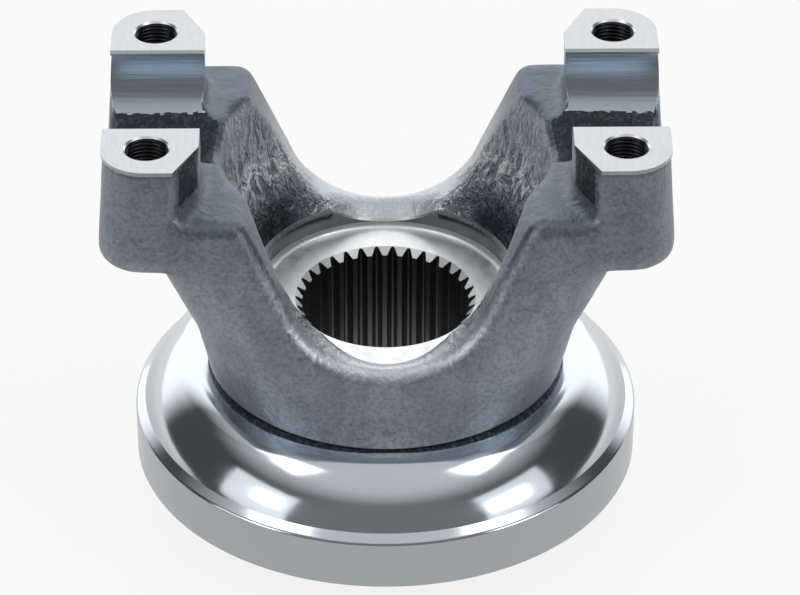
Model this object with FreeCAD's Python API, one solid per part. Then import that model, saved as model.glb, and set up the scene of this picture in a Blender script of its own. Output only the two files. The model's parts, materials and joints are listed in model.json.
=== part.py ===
import FreeCAD, Part
import math
import os

V = FreeCAD.Vector

# A drive-shaft end yoke, forged in one piece and then machined, with a pressed slinger on its hub.
# Origin: centre of the nose's end face. +Z runs up the splined bore, X along the bearing seats.

# Heights above the nose's end face
hub_length = 66.0            # nose end to the face that the pinion nut clamps
pad_over_nut_face = 75.8     # nut face to the four tapped pads
web_below_pads = 18.6        # pads down to the top of each arm between its two towers
ear_height = 36.3            # pads down to the flat underside of each ear

# Ears, towers and pads
ear_inner_x = 55.5           # inner face of the towers
ear_outer_x = 84.4           # outer face of the ears at the pads
ear_half_y = 47.9            # outer face of the towers at the pads
ear_draft = 2.3              # how much further out each ear reaches at its underside
front_draft = 3.7            # lean of the front and back faces, in degrees
pad_corner_radius = 13.5     # rounded outer corner of each pad
tower_corner_x = 7.2         # length along X of the slanted inner corner of each tower
tower_corner_y = 14.6        # length along Y of the same corner
pad_band_height = 1.3        # machined band round each pad
pad_band_proud = 0.5         # how far the forging lies inside that band
ear_edge_radius = 5.0        # rounding of the ear's underside
web_foot_radius = 4.0        # hollow where a tower rises from the web

# Bearing seats and the holes beside them
seat_radius = 22.2
seat_edge_chamfer = 0.8
hole_spacing_x = 141.6
hole_spacing_y = 68.2
thread_minor_radius = 5.75
hole_mouth_radius = 7.0
hole_depth = 30.0
drill_point_angle = 118.0

# Channel between the arms
channel_saddle_height = 6.0  # lowest point of the channel above the nut face
channel_radius = 31.5        # round bottom of the channel
channel_lean = 23.3          # lean of each side, in degrees
channel_lip_radius = 6.0     # rounding at the top of each side
channel_lip_room = 7.2       # flat beyond that rounding
arch_edge_radius = 5.0       # rounding where the channel meets the outer skin

# Bowl between the arms: what it keeps off the towers, and its wall above the nut face
bowl_to_tower = 5.0          # bowl's rim to the inner face of the towers
bowl_rim_to_middle = 3.0     # how much narrower the bowl is halfway down
bowl_rim_to_foot = 10.1      # and at its foot
bowl_middle_height = 26.0
bowl_foot_height = 8.0
bowl_floor_height = 1.0      # what is left for machining the nut face
bowl_foot_to_floor = 10.4    # how far the floor's round edge lies inside the foot
ridge_radius = 3.5           # rounding of the ridge between bowl and channel

# Dish in each saddle: a round groove that slopes down from the crest to the nut face
dish_radius = 24.0
dish_slope = 32.0            # degrees below level
dish_crest_y = 46.5          # where it leaves the top of the saddle

# Forged trough under the bearing seats, running along X
trough_radius = 16.5
trough_below_pads = 23.9     # pads down to its bottom

# Outer skin of the arms, from the nut face up into the ears: height over the nut face, half
# width and corner radius in plan
arm_foot = (0.0, 57.2, 34.0)
arm_waist = (11.0, 58.9, 28.0)
arm_flare = (22.0, 62.8, 22.0)
arm_set_in = 12.0            # how far the arm's top lies inside the ear's outer face
arm_top_corner = 13.0
arm_into_ear = 7.5           # how far each arm reaches up into its ear
hub_foot_roundness = 0.99    # 1 would make the hub's foot a full circle
hub_swell = 0.45             # how soon the round hub turns into the squared arms, 0 to 1

# Nut face and splined bore
nut_face_radius = 40.0
nut_face_corner = 2.0
spline_teeth = 34
spline_module = 1.5875
spline_pressure_angle = 30.0
spline_phase = 0.0           # turn of the teeth, in teeth
spline_minor_radius = 26.2
spline_major_radius = 28.3
spline_root_rise = 0.4       # height of the round root at the bottom of each space
spline_chamfer = 2.2

# Foot of the hub and the seal journal
shoulder_below_nut_face = 19.5
slinger_seat_radius = 50.0
shoulder_over_seat = 6.0     # how far the forged hub stands out over the slinger seat
shoulder_chamfer = 1.2       # broken edge of the hub, which leaves a dark line over the slinger
slinger_seat_length = 12.0
journal_radius = 38.1
journal_fillet = 3.0
journal_chamfer = 1.5
foot_overlap = 1.0           # how far the turned foot reaches up into the forging

# Pressed slinger, measured on its upper face
sheet = 1.6
slinger_collar_length = 11.0
slinger_collar_bend = 4.0
slinger_flat_width = 8.5     # seat to where the flat flange turns down
slinger_shoulder_bend = 12.0
slinger_shoulder_slope = 35.0
slinger_dome_width = 17.9    # from there to the foot of the dome
slinger_dome_drop = 15.6     # flange down to the foot of the dome
slinger_band_slope = 36.0
slinger_band_width = 3.0     # foot of the dome to the skirt
slinger_rim_corner = 1.6
slinger_drop = 33.8          # flange down to the edge of the skirt

# Heights and radii that follow
nut_face_z = hub_length
pad_z = nut_face_z + pad_over_nut_face
web_z = pad_z - web_below_pads
ear_bottom_z = pad_z - ear_height
shoulder_z = nut_face_z - shoulder_below_nut_face
arm_top_half_x = ear_outer_x - arm_set_in
bowl_rim_radius = ear_inner_x - bowl_to_tower
bowl_middle_radius = bowl_rim_radius - bowl_rim_to_middle
bowl_foot_radius = bowl_rim_radius - bowl_rim_to_foot
bowl_floor_radius = bowl_foot_radius - bowl_foot_to_floor
shoulder_radius = slinger_seat_radius + shoulder_over_seat
slinger_flat_radius = slinger_seat_radius + slinger_flat_width
slinger_dome_radius = slinger_flat_radius + slinger_dome_width
slinger_rim_radius = slinger_dome_radius + slinger_band_width
clear_z = pad_z + ear_height # above everything, for cuts that run out at the top
clear_xy = 2.0 * ear_outer_x # beyond everything sideways

tolerance = 0.01             # two points closer than this are taken as one
sewing = 0.001               # tolerance for closing a block of flat sides
sharp_angle = 12.0           # two faces that meet at less than this, in degrees, count as smooth


def corner_arc(before, corner, after, radius):
    """The arc that rounds a corner, as its start, middle and end."""
    to_before = (before - corner).normalize()
    to_after = (after - corner).normalize()
    half = to_before.getAngle(to_after) / 2
    setback = radius / math.tan(half)
    bisector = (to_before + to_after).normalize()
    centre = corner + bisector * (radius / math.sin(half))
    return corner + to_before * setback, centre - bisector * radius, corner + to_after * setback


def rounded_wire(corners):
    """A closed wire through (point, radius) corners, each corner rounded by its radius."""
    arcs = []
    for i, (corner, radius) in enumerate(corners):
        before = corners[i - 1][0]
        after = corners[(i + 1) % len(corners)][0]
        if radius > 0:
            arcs.append(corner_arc(before, corner, after, radius))
        else:
            arcs.append((corner, None, corner))
    edges = []
    for i, (start, middle, end) in enumerate(arcs):
        if middle:
            edges.append(Part.Arc(start, middle, end).toShape())
        next_start = arcs[(i + 1) % len(arcs)][0]
        if end.distanceToPoint(next_start) > tolerance:
            edges.append(Part.LineSegment(end, next_start).toShape())
    return Part.Wire(edges)


def prism(corners, direction):
    return Part.Face(rounded_wire(corners)).extrude(direction)


def revolve(corners):
    """A full turn about Z of a profile given as (radius, height, rounding)."""
    wire = rounded_wire([(V(r, 0, z), rounding) for r, z, rounding in corners])
    return Part.Face(wire).revolve(V(0, 0, 0), V(0, 0, 1), 360)


def plan_section(height, half_x, half_y, radius):
    """A rounded rectangle in plan."""
    corners = [(half_x, half_y), (-half_x, half_y), (-half_x, -half_y), (half_x, -half_y)]
    return rounded_wire([(V(x, y, height), radius) for x, y in corners])


def drafted_block(bottom, top):
    """A solid between two rounded rectangles, with four truly flat sides."""
    lower = plan_section(*bottom)
    upper = plan_section(*top)
    sides = []
    for low, high in zip(lower.Edges, upper.Edges):
        if low.Curve.TypeId == "Part::GeomLine":
            ends = [low.Vertexes[0].Point, low.Vertexes[1].Point,
                    high.Vertexes[1].Point, high.Vertexes[0].Point]
            sides.append(Part.Face(Part.makePolygon(ends + ends[:1])))
        else:
            sides.append(Part.makeRuledSurface(low, high))
    shell = Part.makeShell(sides + [Part.Face(lower), Part.Face(upper)])
    shell.sewShape()
    solid = Part.Solid(shell)
    solid.fix(sewing, sewing, sewing)
    return solid


def both_sides(shape):
    """A shape and its mirror image across the plane between the two ears."""
    return shape.fuse(shape.mirror(V(0, 0, 0), V(1, 0, 0)))


def four_times(shape):
    """A shape copied to all four towers."""
    half = both_sides(shape)
    return half.fuse(half.mirror(V(0, 0, 0), V(0, 1, 0)))


def front_y(z):
    """Distance of the forging's front and back faces from the bore axis at a height."""
    return ear_half_y - pad_band_proud + (pad_z - z) * math.tan(math.radians(front_draft))


def arm_section(height, half_x, corner):
    """A plan section of the arms at a height over the nut face."""
    z = nut_face_z + height
    return z, half_x, front_y(z), corner


def outer_skin():
    """Hub and arms: a round foot that squares up into two flat-fronted, flaring arms."""
    arm_top_height = pad_over_nut_face - ear_height + arm_into_ear
    arms = [arm_section(*arm_foot), arm_section(*arm_waist), arm_section(*arm_flare),
            arm_section(arm_top_height, arm_top_half_x, arm_top_corner)]
    blocks = [drafted_block(low, high) for low, high in zip(arms, arms[1:])]
    foot = (shoulder_z, shoulder_radius, shoulder_radius, hub_foot_roundness * shoulder_radius)
    swell_z = shoulder_z + hub_swell * shoulder_below_nut_face
    swell_half_x = (shoulder_radius + arm_foot[1]) / 2
    swell_corner = (shoulder_radius + arm_foot[2]) / 2
    swell = (swell_z, swell_half_x, front_y(swell_z), swell_corner)
    hub = Part.makeLoft([plan_section(*section) for section in (foot, swell, arms[0])], True, False)
    return hub.fuse(blocks)


def ears():
    """Both ears as one block with draft, its underside rounded all round."""
    bottom = (ear_bottom_z, ear_outer_x + ear_draft, front_y(ear_bottom_z), pad_corner_radius)
    top = (pad_z, ear_outer_x - pad_band_proud, front_y(pad_z), pad_corner_radius)
    block = drafted_block(bottom, top)
    underside = [e for e in block.Edges if e.BoundBox.ZMax < ear_bottom_z + tolerance]
    return block.makeFillet(ear_edge_radius, underside)


def pad_bands():
    """The machined rims of the pads, slightly proud of the forging below them."""
    outline = plan_section(pad_z - pad_band_height, ear_outer_x, ear_half_y, pad_corner_radius)
    return Part.Face(outline).extrude(V(0, 0, pad_band_height))


def between_towers(foot_radius):
    """Space above the webs, with the slanted inner corner of each tower."""
    y_straight = ear_half_y - tower_corner_y
    y_far = 2 * ear_half_y
    x_far = ear_inner_x + tower_corner_x * (y_far - y_straight) / tower_corner_y
    outline = [(ear_inner_x, y_straight), (x_far, y_far), (-x_far, y_far), (-ear_inner_x, y_straight),
               (-ear_inner_x, -y_straight), (-x_far, -y_far), (x_far, -y_far), (ear_inner_x, -y_straight)]
    block = prism([(V(x, y, web_z), 0) for x, y in outline], V(0, 0, clear_z - web_z))
    foot = [e for e in block.Edges if e.BoundBox.ZMax < web_z + tolerance]
    walls = [e for e in foot if abs(e.CenterOfMass.y) < y_far - tolerance]
    return block.makeFillet(foot_radius, walls) if foot_radius > 0 else block


def channel():
    """The round-bottomed channel along Y, its sides leaning out to the webs."""
    half_angle = math.radians(channel_lean)
    bottom_z = nut_face_z + channel_saddle_height
    apex_z = bottom_z - channel_radius * (1 / math.sin(half_angle) - 1)
    lip_x = math.tan(half_angle) * (web_z - apex_z)
    flare_x = lip_x + channel_lip_room
    outline = [(0, apex_z, channel_radius), (lip_x, web_z, channel_lip_radius), (flare_x, web_z, 0),
               (flare_x, clear_z, 0), (-flare_x, clear_z, 0), (-flare_x, web_z, 0),
               (-lip_x, web_z, channel_lip_radius)]
    corners = [(V(x, -clear_xy, z), rounding) for x, z, rounding in outline]
    return prism(corners, V(0, 2 * clear_xy, 0))


def bowl():
    """The round bowl inside the arms, as a turned shape above the nut face."""
    floor = nut_face_z + bowl_floor_height
    curve = Part.BSplineCurve()
    curve.interpolate([V(bowl_floor_radius, 0, floor),
                       V(bowl_foot_radius, 0, nut_face_z + bowl_foot_height),
                       V(bowl_middle_radius, 0, nut_face_z + bowl_middle_height),
                       V(bowl_rim_radius, 0, web_z)],
                      InitialTangent=V(1, 0, 0), FinalTangent=V(0, 0, 1))
    edges = [
        Part.LineSegment(V(0, 0, floor), V(bowl_floor_radius, 0, floor)).toShape(),
        curve.toShape(),
        Part.LineSegment(V(bowl_rim_radius, 0, web_z), V(bowl_rim_radius, 0, clear_z)).toShape(),
        Part.LineSegment(V(bowl_rim_radius, 0, clear_z), V(0, 0, clear_z)).toShape(),
        Part.LineSegment(V(0, 0, clear_z), V(0, 0, floor)).toShape(),
    ]
    return Part.Face(Part.Wire(edges)).revolve(V(0, 0, 0), V(0, 0, 1), 360)


def trough():
    """The forged trough along X. The seats are machined wider, so its bottom stays rough."""
    bottom_z = pad_z - trough_below_pads
    across = Part.makeCylinder(trough_radius, 2 * clear_xy,
                               V(-clear_xy, 0, bottom_z + trough_radius), V(1, 0, 0))
    above = Part.makeBox(2 * clear_xy, 2 * trough_radius, clear_z,
                         V(-clear_xy, -trough_radius, bottom_z + trough_radius))
    return across.fuse(above)


def middle_of(edge):
    return edge.valueAt((edge.FirstParameter + edge.LastParameter) / 2)


def is_sharp(shape, edge):
    """True where the two faces at an edge meet at a clear angle."""
    point = middle_of(edge)
    normals = [f.normalAt(*f.Surface.parameter(point)) for f in shape.ancestorsOfType(edge, Part.Face)]
    return len(normals) == 2 and normals[0].getAngle(normals[1]) > math.radians(sharp_angle)


def is_front(face):
    """True for the flat front and back faces of the forging."""
    if face.Surface.TypeId != "Part::GeomPlane":
        return False
    return abs(face.normalAt(0, 0).y) > math.cos(math.radians(2 * front_draft))


def arch_edges(shape):
    """The outlines of the front and back faces along the channel, webs and towers."""
    found = []
    for face in filter(is_front, shape.Faces):
        for edge in face.Edges:
            height = middle_of(edge).z
            if nut_face_z < height < pad_z - tolerance and is_sharp(shape, edge):
                found.append(edge)
    return found


def is_bowl(face):
    """True for the bowl's turned wall and the straight wall above it."""
    kind = face.Surface.TypeId
    if kind == "Part::GeomCylinder":
        return abs(face.Surface.Radius - bowl_rim_radius) < tolerance
    return kind == "Part::GeomSurfaceOfRevolution"


def ridge_edges(shape):
    """The ridges where the bowl meets the channel and the webs."""
    found = []
    for face in filter(is_bowl, shape.Faces):
        for edge in face.Edges:
            if middle_of(edge).z > nut_face_z + bowl_floor_height and is_sharp(shape, edge):
                found.append(edge)
    return found


def dishes():
    """The sloping dish in each saddle, kept above the nut face."""
    slope = math.radians(dish_slope)
    inward = V(0, -math.cos(slope), -math.sin(slope))
    crest = V(0, dish_crest_y, nut_face_z + channel_saddle_height)
    axis_at_crest = crest + V(0, -math.sin(slope), math.cos(slope)) * dish_radius
    groove = Part.makeCylinder(dish_radius, 2 * dish_crest_y,
                               axis_at_crest - inward * dish_crest_y, inward)
    below = Part.makeBox(2 * clear_xy, 2 * clear_xy, nut_face_z, V(-clear_xy, -clear_xy, 0))
    groove = groove.cut(below)
    return groove.fuse(groove.mirror(V(0, 0, 0), V(0, 1, 0)))


def forging():
    """The forged blank, before any machining."""
    skin = outer_skin().fuse(ears())
    space = between_towers(web_foot_radius).fuse([channel(), bowl(), trough()]).removeSplitter()
    blank = skin.cut(space).removeSplitter()
    blank = blank.makeFillet(arch_edge_radius, arch_edges(blank))
    blank = blank.makeFillet(ridge_radius, ridge_edges(blank))
    return blank.cut(dishes())


def seat_cut():
    """Both half-round bearing seats in one pass along X, with their upper edges broken."""
    seats = Part.makeCylinder(seat_radius, 2 * clear_xy, V(-clear_xy, 0, pad_z), V(1, 0, 0))
    low_z = pad_z - seat_edge_chamfer
    low_y = math.sqrt(seat_radius ** 2 - seat_edge_chamfer ** 2)
    high_y = seat_radius + seat_edge_chamfer
    outline = [(low_y, low_z), (high_y, pad_z), (high_y, clear_z),
               (-high_y, clear_z), (-high_y, pad_z), (-low_y, low_z)]
    broken = prism([(V(-clear_xy, y, z), 0) for y, z in outline], V(2 * clear_xy, 0, 0))
    return seats.fuse(broken)


def tapped_hole():
    """One threaded hole at its minor diameter, with a chamfered mouth and a drilled point."""
    top = V(hole_spacing_x / 2, hole_spacing_y / 2, pad_z)
    down = V(0, 0, -1)
    shaft = Part.makeCylinder(thread_minor_radius, hole_depth, top, down)
    point = Part.makeCone(thread_minor_radius, 0,
                          thread_minor_radius / math.tan(math.radians(drill_point_angle / 2)),
                          top + down * hole_depth, down)
    mouth = Part.makeCone(hole_mouth_radius, thread_minor_radius,
                          hole_mouth_radius - thread_minor_radius, top, down)
    return shaft.fuse([point, mouth])


def polar(radius, angle):
    return V(radius * math.cos(angle), radius * math.sin(angle), 0)


def spline_space(middle):
    """One space of the spline and the tooth tip after it: two straight flanks, a round root, a tip."""
    pitch_radius = spline_module * spline_teeth / 2
    slope = math.tan(math.radians(spline_pressure_angle))

    def half_angle(radius):
        half_width = math.pi * spline_module / 4 - (radius - pitch_radius) * slope
        return math.asin(half_width / radius)

    step = 2 * math.pi / spline_teeth
    root = spline_major_radius - spline_root_rise
    at_tip = half_angle(spline_minor_radius)
    at_root = half_angle(root)
    start = polar(spline_minor_radius, middle - at_tip)
    root_start = polar(root, middle - at_root)
    root_end = polar(root, middle + at_root)
    end = polar(spline_minor_radius, middle + at_tip)
    tip_middle = polar(spline_minor_radius, middle + step / 2)
    tip_end = polar(spline_minor_radius, middle + step - at_tip)
    return [Part.LineSegment(start, root_start).toShape(),
            Part.Arc(root_start, polar(spline_major_radius, middle), root_end).toShape(),
            Part.LineSegment(root_end, end).toShape(),
            Part.Arc(end, tip_middle, tip_end).toShape()]


def spline_cut():
    """The splined bore: straight-flanked spaces with round roots, and a chamfer at each end."""
    edges = []
    for i in range(spline_teeth):
        edges.extend(spline_space((i + spline_phase) * 2 * math.pi / spline_teeth))
    bore = Part.Face(Part.Wire(edges)).extrude(V(0, 0, nut_face_z))
    wide = spline_minor_radius + spline_chamfer
    upper = Part.makeCone(wide, spline_minor_radius, spline_chamfer, V(0, 0, nut_face_z), V(0, 0, -1))
    lower = Part.makeCone(wide, spline_minor_radius, spline_chamfer, V(0, 0, 0), V(0, 0, 1))
    return bore.fuse([upper, lower])


def nut_face_cut():
    """The counterbore that leaves the flat face for the nut, its corner rounded."""
    return revolve([(0, nut_face_z, 0), (nut_face_radius, nut_face_z, nut_face_corner),
                    (nut_face_radius, nut_face_z + bowl_middle_height, 0),
                    (0, nut_face_z + bowl_middle_height, 0)])


def hub_foot():
    """The turned lower end: shoulder, slinger seat and seal journal."""
    seat_end = shoulder_z - slinger_seat_length
    return revolve([(0, 0, 0), (journal_radius - journal_chamfer, 0, 0),
                    (journal_radius, journal_chamfer, 0), (journal_radius, seat_end, journal_fillet),
                    (slinger_seat_radius, seat_end, 0), (slinger_seat_radius, shoulder_z, 0),
                    (slinger_seat_radius, shoulder_z + foot_overlap, 0),
                    (0, shoulder_z + foot_overlap, 0)])


def shoulder_edge_cut():
    """The broken lower edge of the hub, a cone turned off all round."""
    inner = shoulder_radius - shoulder_chamfer
    beyond = shoulder_radius + shoulder_chamfer
    return revolve([(inner, shoulder_z, 0), (beyond, shoulder_z, 0),
                    (beyond, shoulder_z + 2 * shoulder_chamfer, 0)])


def yoke():
    bands = pad_bands().cut(between_towers(0))
    blank = forging().fuse([bands, hub_foot()])
    holes = four_times(tapped_hole())
    return blank.cut([seat_cut(), holes, nut_face_cut(), spline_cut(),
                      shoulder_edge_cut()]).removeSplitter()


def slinger():
    """One pressed ring: collar, flat flange, dome, band and skirt, all one sheet thick."""
    top = shoulder_z
    slope = math.radians(slinger_shoulder_slope)
    bend = slinger_shoulder_bend
    shoulder = V(slinger_flat_radius + bend * math.sin(slope), 0, top - bend * (1 - math.cos(slope)))
    half_bend = V(slinger_flat_radius + bend * math.sin(slope / 2), 0,
                  top - bend * (1 - math.cos(slope / 2)))
    crease = V(slinger_dome_radius, 0, top - slinger_dome_drop)
    along = V(math.cos(slope), 0, -math.sin(slope))
    chord = crease - shoulder
    turn = along.getAngle(chord)
    bulge = V(-chord.z, 0, chord.x).normalize() * (chord.Length / 2 * math.tan(turn / 2))
    dome_middle = (shoulder + crease) * 0.5 + bulge
    band_drop = (slinger_rim_radius - slinger_dome_radius) * math.tan(math.radians(slinger_band_slope))
    rim = V(slinger_rim_radius, 0, crease.z - band_drop)
    skirt_end = V(slinger_rim_radius, 0, top - slinger_drop)
    collar_end = V(slinger_seat_radius, 0, top - slinger_collar_length)
    collar_top = V(slinger_seat_radius, 0, top)
    flat_end = V(slinger_flat_radius, 0, top)
    collar_arc = corner_arc(collar_end, collar_top, flat_end, slinger_collar_bend)
    rim_arc = corner_arc(crease, rim, skirt_end, slinger_rim_corner)
    edges = [
        Part.LineSegment(collar_end, collar_arc[0]).toShape(),
        Part.Arc(*collar_arc).toShape(),
        Part.LineSegment(collar_arc[2], flat_end).toShape(),
        Part.Arc(flat_end, half_bend, shoulder).toShape(),
        Part.Arc(shoulder, dome_middle, crease).toShape(),
        Part.LineSegment(crease, rim_arc[0]).toShape(),
        Part.Arc(*rim_arc).toShape(),
        Part.LineSegment(rim_arc[2], skirt_end).toShape(),
    ]
    section = Part.Wire(edges).makeOffset2D(-sheet, 0, True, True)
    return section.Faces[0].revolve(V(0, 0, 0), V(0, 0, 1), 360)


os.makedirs("parts", exist_ok=True)
yoke().exportStep("parts/yoke.step")
slinger().exportStep("parts/dust_slinger.step")
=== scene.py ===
import json
import math

import bpy
import numpy as np
from mathutils import Matrix, Vector


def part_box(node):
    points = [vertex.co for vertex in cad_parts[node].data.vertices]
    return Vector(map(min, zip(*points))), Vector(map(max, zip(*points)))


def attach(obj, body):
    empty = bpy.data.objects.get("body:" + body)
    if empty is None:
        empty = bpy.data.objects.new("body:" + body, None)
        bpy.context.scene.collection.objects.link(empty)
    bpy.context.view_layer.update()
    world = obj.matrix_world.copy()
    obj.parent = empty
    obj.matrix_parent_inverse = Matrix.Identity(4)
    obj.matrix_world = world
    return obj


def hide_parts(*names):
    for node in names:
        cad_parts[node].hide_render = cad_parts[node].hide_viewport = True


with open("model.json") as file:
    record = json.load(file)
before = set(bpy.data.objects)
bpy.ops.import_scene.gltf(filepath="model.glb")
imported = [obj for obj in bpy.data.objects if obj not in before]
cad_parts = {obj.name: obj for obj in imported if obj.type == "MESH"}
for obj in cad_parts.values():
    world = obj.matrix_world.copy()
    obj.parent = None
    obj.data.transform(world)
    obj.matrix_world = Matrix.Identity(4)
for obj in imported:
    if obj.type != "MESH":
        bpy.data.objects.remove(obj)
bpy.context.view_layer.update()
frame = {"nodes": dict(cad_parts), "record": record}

bl_info = {
    "name": "Forged end yoke",
    "version": (1, 0, 0),
    "blender": (4, 5, 0),
    "location": "3D View > Sidebar > Yoke",
    "description": "Finishes a forged and machined drive-shaft yoke and its pressed slinger",
    "category": "Object",
}

MM = 0.001
MOUNTS = {mount["name"]: mount for mount in frame["record"]["mounts"]}

# Heights of the machined faces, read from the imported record
PAD_Z = MOUNTS["bearing_seats"]["pos_m"][2]
NUT_Z = MOUNTS["nut_face"]["pos_m"][2]
SEAT_RADIUS = MOUNTS["bearing_seats"]["dims"]["r_mm"] * MM
HOLE_X = MOUNTS["cap_bolts"]["dims"]["spacing_x_mm"] * MM / 2
HOLE_Y = MOUNTS["cap_bolts"]["dims"]["spacing_y_mm"] * MM / 2
HOLE_RADIUS = MOUNTS["cap_bolts"]["dims"]["hole_r_mm"] * MM
SLINGER_LOW, SLINGER_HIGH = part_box("dust_slinger")
RIM_RADIUS = SLINGER_HIGH.x
SKIRT_Z = SLINGER_LOW.z
SHOULDER_Z = SLINGER_HIGH.z

# Margins within which a face counts as part of a surface
TOUCH = 0.02 * MM
LAP = 0.05 * MM
ON_CUT = 0.06 * MM
TROUGH_SAG = 0.3 * MM
SEAT_SAG = 0.5 * MM

# Points closer than this are the same point, and a normal shorter than the second has no direction
SAME_POINT = 0.002 * MM
NO_LENGTH = 1e-18

# Edges that turn more than this stay sharp
SHARP_ANGLE = math.radians(30)

SMOOTHING_ROUNDS = 6

# The finishes of the forging, by number. The sixth, black scale, also stands for painted shade
FORGED, MILLED, BORED, TURNED, BROACHED, SCALE_AND_SHADE, WALL = FINISHES = range(7)


def length(name, default_mm, description):
    """A size in metres for the panel, given here in millimetres."""
    return bpy.props.FloatProperty(name=name, description=description, default=default_mm * MM,
                                   unit="LENGTH", precision=5)


def colour(name, default_hex, description):
    """A colour for the panel, given as an sRGB hex value."""
    return bpy.props.FloatVectorProperty(name=name, description=description, subtype="COLOR", size=4,
                                         default=linear(default_hex), min=0.0, max=1.0)


def linear(hex_value):
    """An sRGB hex colour as linear red, green, blue and alpha."""
    parts = [int(hex_value[i:i + 2], 16) / 255 for i in (1, 3, 5)]
    return tuple(c / 12.92 if c <= 0.04045 else ((c + 0.055) / 1.055) ** 2.4 for c in parts) + (1.0,)


class YokeSizes(bpy.types.PropertyGroup):
    """Sizes of the finishing detail."""
    border_edge: length("Border edge", 1.3, "Longest edge of the skin's triangles beside a cut face")
    seat_edge: length("Seat edge", 1.9, "Longest edge of the bearing seats' triangles")
    skin_edge: length("Skin edge", 2.9, "Longest edge of the forged skin's triangles")
    turned_edge: length("Turned edge", 3.0, "Longest edge of the machined faces' triangles")
    skin_relief: length("Skin relief", 0.22, "Depth of the forged skin's unevenness")
    skin_cell: length("Skin grain", 5.0, "Width of the skin's broad unevenness")
    skin_fade: length("Skin fade", 2.0, "Width over which the relief fades towards machined faces")
    thread_pitch: length("Thread pitch", 1.27, "Pitch of the four tapped holes")
    thread_depth: length("Thread depth", 0.6, "Depth of the thread below the drilled wall")
    thread_length: length("Thread length", 24.0, "Depth of the threaded part of each hole")
    hole_depth: length("Hole depth", 30.0, "Depth of each hole above its drilled point")
    mouth_radius: length("Mouth radius", 7.0, "Radius of the chamfer at each hole's mouth")
    bright_edge: length("Bright edge", 0.6, "Width of the rubbed edge over the nut face's recess")
    bright_mouth: length("Bright mouth", 0.45, "Depth of the bright part of each hole's chamfer")
    seat_chamfer: length("Seat chamfer", 0.9, "Depth of the broken edge over each seat")
    seat_ripple: length("Seat ripple", 1.0, "Height of the ripples where the cutter left the scale")
    ripple_cell: length("Ripple width", 1.5, "Width of those ripples")
    arm_start: length("Arm start", 40.0, "Distance from the middle past which the seats lie")
    tower_start: length("Tower start", 54.8, "Distance from the middle past which the towers lie")
    pad_band: length("Pad band", 1.3, "Height of the milled band round each pad")
    seat_depth: length("Seat depth", 17.2, "Pads down to where the cutter left the scale on each seat")
    trough_depth: length("Trough depth", 23.9, "Pads down to the forged trough under the seats")
    trough_half: length("Trough half width", 16.5, "Half the width of that trough")
    counterbore: length("Counterbore", 40.0, "Radius of the wall round the nut face")
    recess_depth: length("Recess depth", 12.0, "Height over the nut face at which its recess has ended")
    nut_corner: length("Nut face corner", 2.0, "Rounding between the nut face and the wall round it")
    corner_height: length("Corner height", 14.6, "Height of the flat part of the towers' slanted corners")
    spline_edge: length("Spline chamfer", 2.2, "Chamfer at the upper end of the spline")
    spline_root: length("Spline root", 28.9, "Just over the radius of the spline's roots")
    broken_edge: length("Broken edge", 1.3, "Height of the chamfer over the slinger")
    sheet: length("Sheet", 1.6, "Thickness of the slinger's sheet")
    collar_length: length("Collar", 11.0, "Length of the slinger's collar")
    collar_radius: length("Collar radius", 50.0, "Radius of the slinger's seat on the hub")
    collar_bend: length("Collar bend", 4.0, "Outer radius of the bend over the collar")
    flat_radius: length("Flat radius", 58.5, "Where the slinger's flat flange turns down")
    shoulder_bend: length("Shoulder bend", 12.0, "Radius of that turn")
    dome_radius: length("Dome radius", 76.4, "Radius at the foot of the dome")
    dome_drop: length("Dome drop", 15.6, "Flange down to the foot of the dome")
    rim_corner: length("Rim corner", 1.6, "Rounding where the band meets the skirt")
    sheared_edge: length("Sheared edge", 0.3, "Rounding of the sheet's cut edges")
    corner_slant: bpy.props.FloatProperty(name="Corner slant", subtype="ANGLE",
                                          default=math.radians(26.25),
                                          description="Turn of the towers' slanted corners")
    shoulder_slope: bpy.props.FloatProperty(name="Shoulder slope", subtype="ANGLE",
                                            default=math.radians(35), description="Slope after the turn")
    band_slope: bpy.props.FloatProperty(name="Band slope", subtype="ANGLE",
                                        default=math.radians(36), description="Slope of the narrow band")


class YokeColours(bpy.types.PropertyGroup):
    """Colours of the finishes."""
    forged: colour("Forged steel", "#AEB9C4", "Shot-blasted forged skin")
    # Also laid over the bowl, more so lower down, as painted shade
    scale: colour("Forge scale", "#4E5964", "Dark scale left in the skin's hollows")
    milled: colour("Milled pads", "#B4B9BC", "Face-milled pads")
    bored: colour("Bored seats", "#ABB7C2", "Bored bearing seats")
    turned: colour("Turned faces", "#E2E4E5", "Turned nut face and journal")
    wall: colour("Counterbore wall", "#8B8F92", "Wall round the nut face, bored and left dull")
    broached: colour("Broached spline", "#77797B", "Oiled, broached spline")
    tapped: colour("Tapped holes", "#2C2E31", "Tapped holes, dark with cutting oil")
    # Also laid on upward faces of the forging's low saddles and bowl lip as a painted reflection
    pressed: colour("Pressed sheet", "#C9D1D8", "Polished pressed slinger")
    # Near white: on the bowl's hammer crests it is partly pale metal and partly a painted highlight
    pale_metal_and_highlight: colour("Hammered crests", "#F8F9FC", "Bare metal on the crests of the bowl's hammer marks")
    # Low in the bowl this black is painted shade; in the black scale finish it is scale and painted shade
    black_scale_and_shade: colour("Soot", "#0D1012", "Thick black scale low in the bowl and in the troughs")
    floor: colour("Floor", "#F4F4F4", "Studio floor")
    card: colour("Card", "#FFFDFA", "What the metal reflects of the floor")


def add_node(tree, kind, inputs=None, output=0, **settings):
    """Adds a node, sets its properties, sets or links its inputs by name or number, and gives back
    one of its outputs."""
    node = tree.nodes.new(kind)
    for key, value in settings.items():
        setattr(node, key, value)
    for key, value in (inputs or {}).items():
        if isinstance(value, bpy.types.NodeSocket):
            tree.links.new(value, node.inputs[key])
        else:
            node.inputs[key].default_value = value
    return node.outputs[output] if node.outputs else node


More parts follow.
